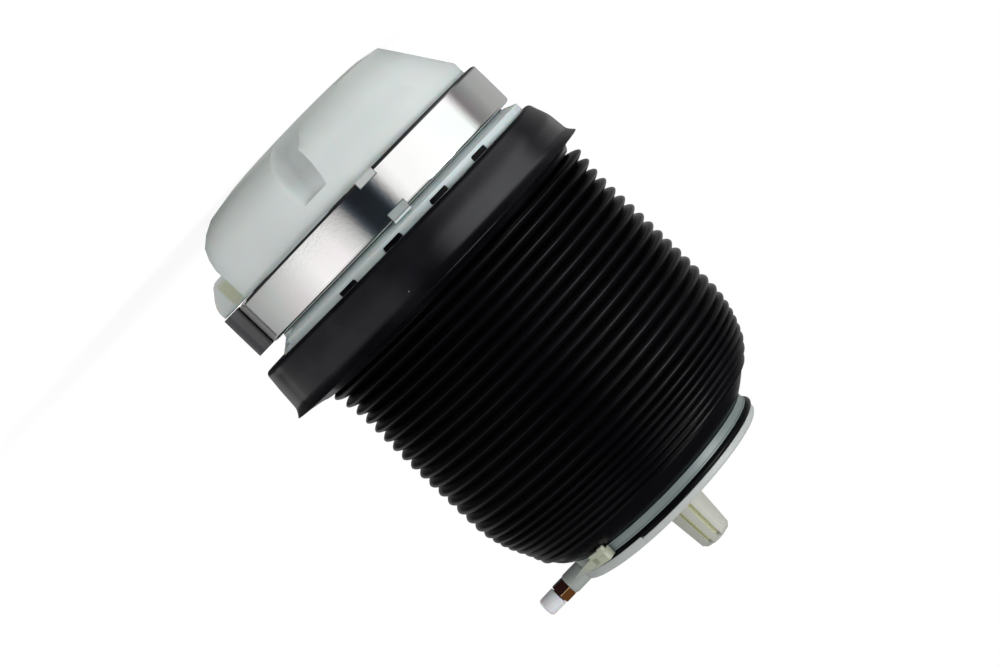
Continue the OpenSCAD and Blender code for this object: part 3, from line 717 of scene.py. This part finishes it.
fold_number = np.arange(FOLDS)
over_shoulder = fold_number - EVEN_FOLDS
pitches = np.where(over_shoulder < 0, PITCH, np.maximum(LEAST_PITCH, PITCH - 0.6 - 0.7 * over_shoulder))
valleys = FIRST_VALLEY + np.concatenate([[0], np.cumsum(pitches)])
print("folds end at z = %.1f mm" % valleys[-1])


def envelope(z):
    """Radius over the folds: straight with a slight bulge, then a rounded shoulder down to the cuff."""
    t = np.clip((z - SHOULDER_Z) / (TIE_Z - SHOULDER_Z), 0, 1)
    bulge = BULGE * np.maximum(0, 1 - ((z - BULGE_Z) / BULGE_REACH) ** 2)
    return CUFF_R + (GAITER_R - CUFF_R) * (1 - t ** 2) ** SHOULDER_POWER + bulge


def fold_profile(steps):
    """For each fold, radius = crest - depth |2u|^1.9 with u from -1/2 to 1/2 along its pitch."""
    u = np.linspace(-0.5, 0.5, steps, endpoint=False)
    depth = np.where(over_shoulder < 0, STRAIGHT_DEPTH - STRAIGHT_LOSS * fold_number,
                     np.maximum(LEAST_DEPTH, SHOULDER_DEPTH - SHOULDER_LOSS * over_shoulder))
    crest = envelope(valleys[:-1] + pitches / 2) + np.maximum(0, FIRST_CREST - CREST_LOSS * fold_number)
    z = valleys[:-1, None] + pitches[:, None] * (u + 0.5)
    r = crest[:, None] - depth[:, None] * np.abs(2 * u) ** FOLD_POWER
    return np.stack([r.ravel(), z.ravel()], -1)


# %% Cuffs and bead
BEAD_Z = 247.0
BEAD_TOP = 249.9
BEAD_R = 58.9
BEAD_ROUND = 1.3
NECK_R = 54.1
# Radius and height of the lower cuff's outside, from its edge up, and of its bore, from the top down
LOWER_CUFF = np.array([(80.0, 82.5), (79.6, 83.2), (79.6, 96.5), (78.6, 99.0)])
LOWER_BORE = np.array([(77.9, 96.9), (77.9, 93.2), (77.3, 92.2), (77.3, 82.5)])


def bead_profile():
    """Half a round, drawn from the lower edge of the bead to its upper one."""
    turn = np.radians(np.linspace(-90, 90, 9))
    middle, half = (BEAD_Z + BEAD_TOP) / 2, (BEAD_TOP - BEAD_Z) / 2 - 0.1
    return np.stack([BEAD_R - BEAD_ROUND + BEAD_ROUND * np.cos(turn), middle + half * np.sin(turn)], -1)


def gaiter_profile(steps):
    """The loop: cuff on the seat, folds, smooth shoulder, tied cuff and bead, then back down inside."""
    rise = np.linspace(0, 0.94, 14)
    z = valleys[-1] + (TIE_Z - 0.4 - valleys[-1]) * np.sin(0.5 * np.pi * rise)
    shoulder = np.stack([envelope(z) - 1.0 * (1 - rise), z], -1)
    outer = np.concatenate([LOWER_CUFF, fold_profile(steps), shoulder])
    tied = [(CUFF_R + 0.5, TIE_Z - 0.5), (CUFF_R, TIE_Z), (CUFF_R, BEAD_Z - 0.3)]
    neck = [(NECK_R + 0.2, BEAD_TOP), (NECK_R, TIE_Z - 1.5)]
    inner = outer[3:][::-1][::2] - (GAITER_WALL, 0)
    return np.concatenate([outer, tied, bead_profile(), neck, inner, LOWER_BORE])


# %% Lean, wander and room for the port
SKIRT_Z = 248.5
PORT_Z = 246.5
LEAN = -3.9
WANDER_R = 0.16
WANDER_Z = 0.35
SINK = 0.98
# Heights between which the folds come free and are held again, and the port's and skirt's azimuths
FREE_FROM = (99, 106)
FREE_TO = (222, 240)
PORT_SECTOR = (-30, 54)
SKIRT_SECTOR = (-64, 66)


def gaiter_push(a, r, z):
    """The lean comes in above the collar and fades at the tied cuff; the free folds wander a little. On the
    fitting's side the bead is lower, to make room for the cover's skirt and for the port below it."""
    free = smooth_step(z, *FREE_FROM) * (1 - smooth_step(z, *FREE_TO))
    port = sector(a, *PORT_SECTOR)
    ceiling = BEAD_TOP - (BEAD_TOP - SKIRT_Z) * sector(a, *SKIRT_SECTOR) - (SKIRT_Z - PORT_Z) * port
    sink = SINK * np.minimum(0, ceiling - z)
    drawn_in = SINK * port * np.maximum(0, r - CUFF_R) * (z > BEAD_Z - 0.5)
    return (WANDER_R * free * ripple(a + z / 40, (2, 3, 5), 4) - drawn_in, LEAN * free,
            WANDER_Z * free * ripple(a - z / 60, (1, 2, 3), 9) + sink)


bellows = turned(gaiter_profile(12), 192, gaiter_push)
gaiter_piece = grid_mesh("gaiter_bellows", bellows, None, "gaiter_rubber", gaiter_rubber)
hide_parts("gaiter")
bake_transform(gaiter_piece)

# %% [markdown]
# ## The sleeve inside
#
# The air sleeve can't be seen. A real lobe rolls, which would take a shape for each height; one
# shape comes close. It is a ribbon along a path: down the guide tube, round the rolling lobe and up
# the piston.

# %% The rolling sleeve
SLEEVE_T = 2.2
SLEEVE_OUT = 66.9
SLEEVE_IN = 49.2
CRIMP_R = 51.2
CRIMP_TOP = 235.9
FLARE_Z = 225.5
FLARE_H = 21
LOBE_Z = 126.0
# Radius and height where the sleeve runs up the piston and is crimped to its neck
PISTON_END = [(SLEEVE_IN, 131.8), (44.2, 139.4), (44.2, 149.5)]


def ribbon(path, thickness):
    """Both sides of a path, half the thickness away along its normal, joined to one loop."""
    along_path = np.gradient(path, axis=0)
    normal = np.stack([-along_path[:, 1], along_path[:, 0]], -1)
    normal = normal / np.linalg.norm(along_path, axis=1)[:, None]
    return np.concatenate([path + normal * thickness / 2, (path - normal * thickness / 2)[::-1]])


def sleeve_path():
    """From the upper crimp a cosine flare out to the guide tube, half a circle for the lobe, then the
    piston."""
    s = np.linspace(0, 1, 14)
    flare_r = CRIMP_R + (SLEEVE_OUT - CRIMP_R) * (1 - np.cos(np.pi * s)) / 2
    flare = np.stack([flare_r, FLARE_Z - FLARE_H * s], -1)
    lobe_r = (SLEEVE_OUT - SLEEVE_IN) / 2
    turn = -np.pi * np.linspace(0, 1, 25)
    lobe = np.stack([SLEEVE_IN + lobe_r + lobe_r * np.cos(turn), LOBE_Z + lobe_r * np.sin(turn)], -1)
    return np.concatenate([[(CRIMP_R, CRIMP_TOP)], flare, [(SLEEVE_OUT, 170.0)], lobe, PISTON_END])


sleeve = turned(ribbon(sleeve_path(), SLEEVE_T), 128)
sleeve_piece = grid_mesh("rolling_sleeve", sleeve, None, "sleeve_rubber", rubber)
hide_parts("air_sleeve")
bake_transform(sleeve_piece)

# %% [markdown]
# ## The dust collar
#
# The collar is a hollow rubber ring. Its wall leans out and flares to a sharp lip, and it sits askew on
# the base, pushed towards the fitting. It could be sculpted, but a turned profile keeps the lip sharp
# all the way round, and a push of a few waves gives the dents. Teeth below it snap into windows of the
# base.

# %% Collar wall and lip
COLLAR_Z = 72.5
COLLAR_R = 92.0
COLLAR_H = 25.0
HEEL_R = 2.4
LIP_R = 96.5
LIP_Z = COLLAR_Z + COLLAR_H
RISE = 2.1
FLARE_SHARE = 0.2
ROOF_R = 83.4
ROOF_RISE = 1.7
RING_IN = 77.7
RING_OUT = 79.5
RING_Z = 69.8
RING_TOP = 75.1


def collar_profile():
    """Rounded heel, wall with a flare in its last fifth, roof that rises late, inner wall, base ring."""
    heel = np.radians(np.linspace(-90, 0, 7))
    corner = np.stack([COLLAR_R - HEEL_R + HEEL_R * np.cos(heel),
                       COLLAR_Z + HEEL_R + HEEL_R * np.sin(heel)], -1)
    u = np.linspace(0.05, 1, 24)
    flare = (np.maximum(0, u - (1 - FLARE_SHARE)) / FLARE_SHARE) ** 1.6
    wall_r = COLLAR_R + RISE * u + (LIP_R - COLLAR_R - RISE) * flare
    wall = np.stack([wall_r, COLLAR_Z + HEEL_R + (COLLAR_H - 2.6) * u], -1)
    t = np.linspace(0, 1, 12)
    roof = np.stack([LIP_R - 0.15 - (LIP_R - ROOF_R) * t, LIP_Z + ROOF_RISE * t + ROOF_RISE * t ** 4], -1)
    inner = [(82.9, LIP_Z + 1.0), (88.4, LIP_Z - 2.2), (COLLAR_R - 0.8, 91.5), (COLLAR_R - 1.4, 82.5),
             (COLLAR_R - 2.5, 77.5), (COLLAR_R - 3.5, RING_TOP)]
    ring = [(RING_IN, RING_TOP), (RING_IN, RING_Z), (RING_OUT, RING_Z), (RING_OUT, COLLAR_Z)]
    return np.concatenate([corner, wall, roof, inner, ring])


# %% Collar out of round
COLLAR_SHIFT = 3.1
CREASE_AT = 336
CREASE_W = 2.8
CREASE = 0.35
DENT = 0.35
TUCK = 0.9
# Radii between which the wall comes free, and heights where each deformation starts and ends
FREE_R = (82.6, 89)
DENT_FROM, DENT_TO = (74, 84), (94, 97)
CREASE_FROM, CREASE_TO = (72.5, 77), (93, 97)
TUCK_TO = (72, 85)
UPPER_FROM = (76, 95)


def collar_push(a, r, z):
    """Only the free wall moves: it shifts along +X, droops a little, and tucks in at its foot on the other
    side. A few long dents run round it, and one upright crease stands beside the lock at -24 degrees."""
    free = smooth_step(r, *FREE_R)
    dent = ripple(a, (2, 3, 5, 8), 12) * smooth_step(z, *DENT_FROM) * (1 - smooth_step(z, *DENT_TO))
    crease = np.exp(-((np.degrees(a) - CREASE_AT) / CREASE_W) ** 2)
    crease = crease * smooth_step(z, *CREASE_FROM) * (1 - smooth_step(z, *CREASE_TO))
    tuck = (1 - np.cos(a)) ** 1.5 * (1 - smooth_step(z, *TUCK_TO))
    upper = smooth_step(z, *UPPER_FROM)
    droop = (1 - upper) * (-0.95 - 0.25 * np.cos(a)) + upper * (-0.4 + 0.4 * np.cos(a))
    return (free * (DENT * dent - CREASE * crease - TUCK * tuck), free * COLLAR_SHIFT,
            free * (0.2 * ripple(a, (2, 3), 5) + droop))


collar = turned(collar_profile(), 256, collar_push)
collar_piece = grid_mesh("flared_collar", collar, "foot", "collar_rubber", collar_rubber)
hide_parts("dust_collar")

# %% [markdown]
# ## Small blocks
#
# The collar's teeth and the head of the cable tie are boxes with softened edges. A Bevel modifier on
# each would do, but they are many, so one bmesh holds all blocks of a piece: each starts as a unit
# cube, is scaled, bevelled, turned about Z and moved.

# %% Snap teeth
FIRST_TOOTH = -90 - 37.2
TOOTH_STEP = 20.9
TOOTH_GROUPS = 2
TEETH_EACH = 4
TOOTH_SIZE = (3.4, 10.4, 4.3)
TOOTH_R = 80.9
TOOTH_DROP = 1.15


def soft_blocks(blocks):
    """A bmesh of bevelled boxes. Each block is its middle, its size, its turn about Z and its bevel, in
    millimetres and degrees."""
    whole = bmesh.new()
    for middle, size, turn, bevel in blocks:
        block = bmesh.new()
        bmesh.ops.create_cube(block, size=1.0, matrix=Matrix.Diagonal((*[v * MM for v in size], 1)))
        bmesh.ops.bevel(block, geom=block.edges, offset=bevel * MM, segments=2, affect="EDGES", profile=0.5)
        place = Matrix.Rotation(np.radians(turn), 4, "Z") @ Matrix.Translation([v * MM for v in middle])
        bmesh.ops.transform(block, matrix=place, verts=block.verts)
        part = bpy.data.meshes.new("part")
        block.to_mesh(part)
        whole.from_mesh(part)
        bpy.data.meshes.remove(part)
    return whole


def lists_of(work):
    """Points and faces of a bmesh, as the lists that new_piece takes."""
    work.verts.index_update()
    points = [tuple(v.co) for v in work.verts]
    faces = [[v.index for v in face.verts] for face in work.faces]
    work.free()
    return points, faces


tooth_place = (TOOTH_R, 0, COLLAR_Z - TOOTH_DROP)
tooth_turns = [FIRST_TOOTH + 360 / TOOTH_GROUPS * g + TOOTH_STEP * t
               for g in range(TOOTH_GROUPS) for t in range(TEETH_EACH)]
teeth = soft_blocks([(tooth_place, TOOTH_SIZE, turn, 0.35) for turn in tooth_turns])
new_piece("collar_teeth", *lists_of(teeth), "foot", "gaiter_rubber", gaiter_rubber)

# %% [markdown]
# ## The cable tie
#
# The strap is thicker along both edges. Its head carries a round pip and three bars, and the strap's free
# end leaves it as a leaf that rises a little and narrows to a blunt point. A curve with a bevelled
# outline could make the strap but not the leaf, whose width changes along it, so both are grids.

# %% Strap and leaf
HEAD_TURN = -42.5
STRAP_R = CUFF_R + 1.35
TIE_MID = TIE_Z + TIE_W / 2
TIE_HALF = 2.35
LEAF_START = 3.5
LEAF_L = 23.2
LEAF_OUT = 2.5
LEAF_RISE = 1.6


def strap_profile():
    """Outer side of the strap: its edges stand 0.35 mm proud of the middle; inner side straight."""
    half = np.array([1.3, 1.6, 2.2, TIE_HALF])
    sunk = np.array([0.35, 0.0, 0.0, 0.25])
    z = np.concatenate([-half[::-1], half]) + TIE_MID
    r = STRAP_R - np.concatenate([sunk[::-1], sunk])
    inner = [(CUFF_R + 0.08, z[-1]), (CUFF_R + 0.08, z[0])]
    return np.concatenate([np.stack([r, z], -1), inner])


def rounded(wave):
    """A sine or cosine with its sign kept and its size to the power 0.6, for an oval with flat sides."""
    return np.sign(wave) * np.abs(wave) ** 0.6


def leaf(length, steps=14):
    """A flat tube whose width falls along its length: full for a third, then a smooth run to a point."""
    t = np.linspace(0, 1, steps)
    half = TIE_HALF * (1 - smooth_step(t, 0.25, 1.35)) * np.sqrt(np.clip((1.02 - t) / 0.12, 0, 1))
    a = circle(16)
    wide = half[:, None] * rounded(np.sin(a))
    thick = (0.62 - 0.2 * t)[:, None] * rounded(np.cos(a))
    run = (LEAF_START + length * t)[:, None] + 0 * a
    turn = np.radians(HEAD_TURN)
    x = (STRAP_R + LEAF_OUT + thick) * np.cos(turn) - run * np.sin(turn)
    y = (STRAP_R + LEAF_OUT + thick) * np.sin(turn) + run * np.cos(turn)
    return np.stack([x, y, TIE_MID + wide + (LEAF_RISE * t)[:, None]], -1) * MM


strap = grid_mesh("tie_strap", turned(strap_profile(), 128), "top", "tie_nylon", tie_nylon)
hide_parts("cable_tie")
grid_mesh("tie_leaf", leaf(LEAF_L), "top", "tie_nylon", tie_nylon, capped=True)

# %% Head of the tie
FACE_R = 62.95
BAR_PLACES = (2.0, 3.1, 4.2)
# Middle, size and bevel, in millimetres: three bars, then the box, its foot, its corner and the pip
HEAD_BLOCKS = [((FACE_R, y, TIE_MID - 0.1), (1.0, 0.5, 3.2), 0.15) for y in BAR_PLACES] + [
    ((59.9, 0.2, TIE_MID + 0.2), (5.9, 10.6, 5.4), 0.35),
    ((61.75, 0.2, TIE_MID - 2.6), (2.3, 10.6, 3.2), 0.35),
    ((61.6, -4.1, TIE_MID - 3.5), (2.4, 3.6, 2.8), 0.35),
    ((FACE_R, -2.6, TIE_MID - 0.3), (1.0, 1.7, 1.7), 0.4)]

head = soft_blocks([(middle, size, HEAD_TURN, bevel) for middle, size, bevel in HEAD_BLOCKS])
new_piece("tie_head", *lists_of(head), "top", "tie_nylon", tie_nylon)

# %% [markdown]
# ## The air fitting
#
# Nut and plug are turned about the fitting's own axis, which runs along X. A six-sided cylinder would
# have no chamfer, so the hexagon is a radius that depends on the angle, rf = flat / cos(angle from the
# middle of the flat), cut by a cone at both ends.

# %% Nut
FIT_Y = 20.0
FIT_Z = 252.8
SPIGOT_X = 69.2
NUT_L = 6.5
NUT_FLAT = 5.0
NUT_ANGLES = 144
# Distance from the spigot and radius: the stem in the spigot, the cone over the hexagon, then the neck
# that the plug covers, with the bore that runs back through all of them
STEM = np.array([(-10, 3.7), (-9.8, 3.9), (-0.2, 3.9)])
HEX_CONE = np.array([(0.15, 4.6), (0.17, 5.2), (0.35, 5.6), (0.5, 6.0), (3.2, 6.0), (5.8, 6.0),
                     (6.1, 5.6), (6.45, 5.2), (6.5, 4.6)])
NECK_AND_BORE = np.array([(6.5, 3.6), (7.8, 3.6), (8.0, 3.4), (8.0, 2.1), (-10, 2.1)])


def about_fitting(x, r, angles):
    """Points (x, FIT_Y + r cos a, FIT_Z + r sin a); r holds one value for each row and angle."""
    a = circle(angles)
    return np.stack([x[:, None] + 0 * a, FIT_Y + r * np.cos(a), FIT_Z + r * np.sin(a)], -1) * MM


def hexagon(a):
    """Radius of a hexagon with a corner at angle 0, its corners rounded off by 0.05 mm."""
    off = (a % (np.pi / 3)) - np.pi / 6
    return np.minimum(NUT_FLAT / np.cos(off), NUT_FLAT / np.cos(np.pi / 6) - 0.05)


nut_a = circle(NUT_ANGLES)
nut_x = np.concatenate([STEM, HEX_CONE, NECK_AND_BORE])[:, 0] + SPIGOT_X
nut_r = np.concatenate([STEM[:, 1:] + 0 * nut_a, np.minimum(hexagon(nut_a), HEX_CONE[:, 1:]),
                        NECK_AND_BORE[:, 1:] + 0 * nut_a])
nut_piece = grid_mesh("hex_nut", about_fitting(nut_x, nut_r, NUT_ANGLES), "nut", "nut_brass", nut_brass,
                      smooth_degrees=25)
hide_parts("union_nut")

# %% Plug
PLUG_ANGLES = 64
PLUG_ROUND = 1.7
PLUG_X = SPIGOT_X + NUT_L + 0.6
# Distance from the cap's foot and radius: the tang in the bore, the foot of the cap, then its flat end
TANG_AND_FOOT = np.array([(-5, 0.05), (-5, 1.6), (-4.6, 2.0), (1.4, 2.0), (1.4, 3.9), (0.0, 3.9),
                          (0.0, 4.85), (0.25, 5.1)])
CAP_END = np.array([(9.55, 2.0), (9.6, 0.05)])

corner_turn = np.radians(np.linspace(5, 82, 8))
cap_corner = np.stack([7.6 + PLUG_ROUND * np.sin(corner_turn), 3.3 + PLUG_ROUND * np.cos(corner_turn)], -1)
plug_x, plug_r = np.concatenate([TANG_AND_FOOT, cap_corner, CAP_END]).T
plug_grid = about_fitting(plug_x + PLUG_X, plug_r[:, None] + np.zeros((1, PLUG_ANGLES)), PLUG_ANGLES)
plug_piece = grid_mesh("plug_cap", plug_grid, "plug", "plug_plastic", plug_plastic, capped=True)
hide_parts("transport_plug")

# %% [markdown]
# ## The bump stop
#
# The foam buffer hangs under the cover and is squeezed at the end of the stroke. Its outside is a stack
# of round rings, r = middle + swing cos(phase), that narrows to the lower end. Separate rings would
# leave seams where they meet, so it is one turned wave.

# %% Foam rings
STOP_TOP = 220.5
STOP_L = 24.4
STOP_BORE = 8.0
STOP_R = 20.6
STOP_TAPER = 4.4
RING_SWING = 1.0
RING_COUNT = 2.4
RING_START = 0.15


def stop_profile():
    """Closed loop of the foam ring: bore, top, waved outside, rounded lower end."""
    t = np.linspace(0, 1, 40)
    wave = RING_SWING * np.cos(2 * np.pi * (RING_COUNT * t - RING_START))
    r = STOP_R - STOP_TAPER * t ** 2 + wave
    r[-3:] -= (0.5, 1.6, 3.4)
    outer = np.stack([r, STOP_TOP - STOP_L * t], -1)
    return np.concatenate([[(STOP_BORE, STOP_TOP)], outer, [(STOP_BORE, STOP_TOP - STOP_L)]])


stop_piece = grid_mesh("foam_stop", turned(stop_profile(), 96), "top", "stop_foam", foam)
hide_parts("bump_stop")
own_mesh(stop_piece)

# %% [markdown]
# ## The pot without facets
#
# The pot is a hull of shifted circles, so its solid has flat facets. Making it again by formula would
# mean doing its ribs, scoop and ear twice. Instead a copy of the solid with its double points merged
# takes smooth shading, and only edges sharper than 34 degrees stay crisp, such as the scoop's left
# edge and the lugs. Each face also keeps whether it lies below the pot's outline, so that the scoop
# can be shaded.

# %% Smooth copy of the pot
def smooth_copy(node_name, name, body, slot, paint, degrees):
    """Points of the solid's mesh that agree to a micrometre become one; faces keep their order."""
    mesh = nodes[node_name].data
    points = np.empty(len(mesh.vertices) * 3)
    mesh.vertices.foreach_get("co", points)
    place = np.array(nodes[node_name].matrix_world)
    points = points.reshape(-1, 3) @ place[:3, :3].T + place[:3, 3]
    corners = np.empty(len(mesh.loops), int)
    mesh.loops.foreach_get("vertex_index", corners)
    keys, back = np.unique(np.round(points, 6), axis=0, return_inverse=True)
    faces = back.reshape(-1)[corners].reshape(-1, 3)
    whole = (faces[:, 0] != faces[:, 1]) & (faces[:, 1] != faces[:, 2]) & (faces[:, 2] != faces[:, 0])
    return new_piece(name, keys, faces[whole].tolist(), body, slot, paint, degrees)


# %% The scoop's faces
# Levels of the pot's outside in millimetres: height, shift of the circle along X and its radius
POT_LEVELS = np.array([(0, 1, 47), (2, 2.9, 58.1), (5, 4.9, 62.1), (9, 6.3, 65.7), (14, 6, 68.5),
                       (20, 4.9, 71.1), (26, 2.7, 73.2), (33, 0, 75.4), (60, 0, 75.4)])
SCOOP_DEPTH = 0.08
SCOOP_X = (-5, 40)
SCOOP_Y = -40
CRISP_ABOVE = 34


def recess_of(centres):
    """1 where a face's centre in the front sector lies more than 0.08 mm inside the outline, whose middle
    and radius run straight from level to level."""
    x, y, z = centres.T / MM
    shift = np.interp(z, POT_LEVELS[:, 0], POT_LEVELS[:, 1])
    radius = np.interp(z, POT_LEVELS[:, 0], POT_LEVELS[:, 2])
    front = (y < SCOOP_Y) & (x > SCOOP_X[0]) & (x < SCOOP_X[1])
    return (radius - np.hypot(x - shift, y) > SCOOP_DEPTH) & front


pot_piece = smooth_copy("foot_pot", "smooth_pot", "foot", "foot_plastic", pot_nylon, CRISP_ABOVE)
in_scoop = recess_of(np.array([face.center for face in pot_piece.data.polygons]))
recess = pot_piece.data.attributes.new("recess", "FLOAT", "FACE")
recess.data.foreach_set("value", in_scoop.astype(np.float32))
print("scoop:", int(in_scoop.sum()), "faces")
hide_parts("foot_pot")
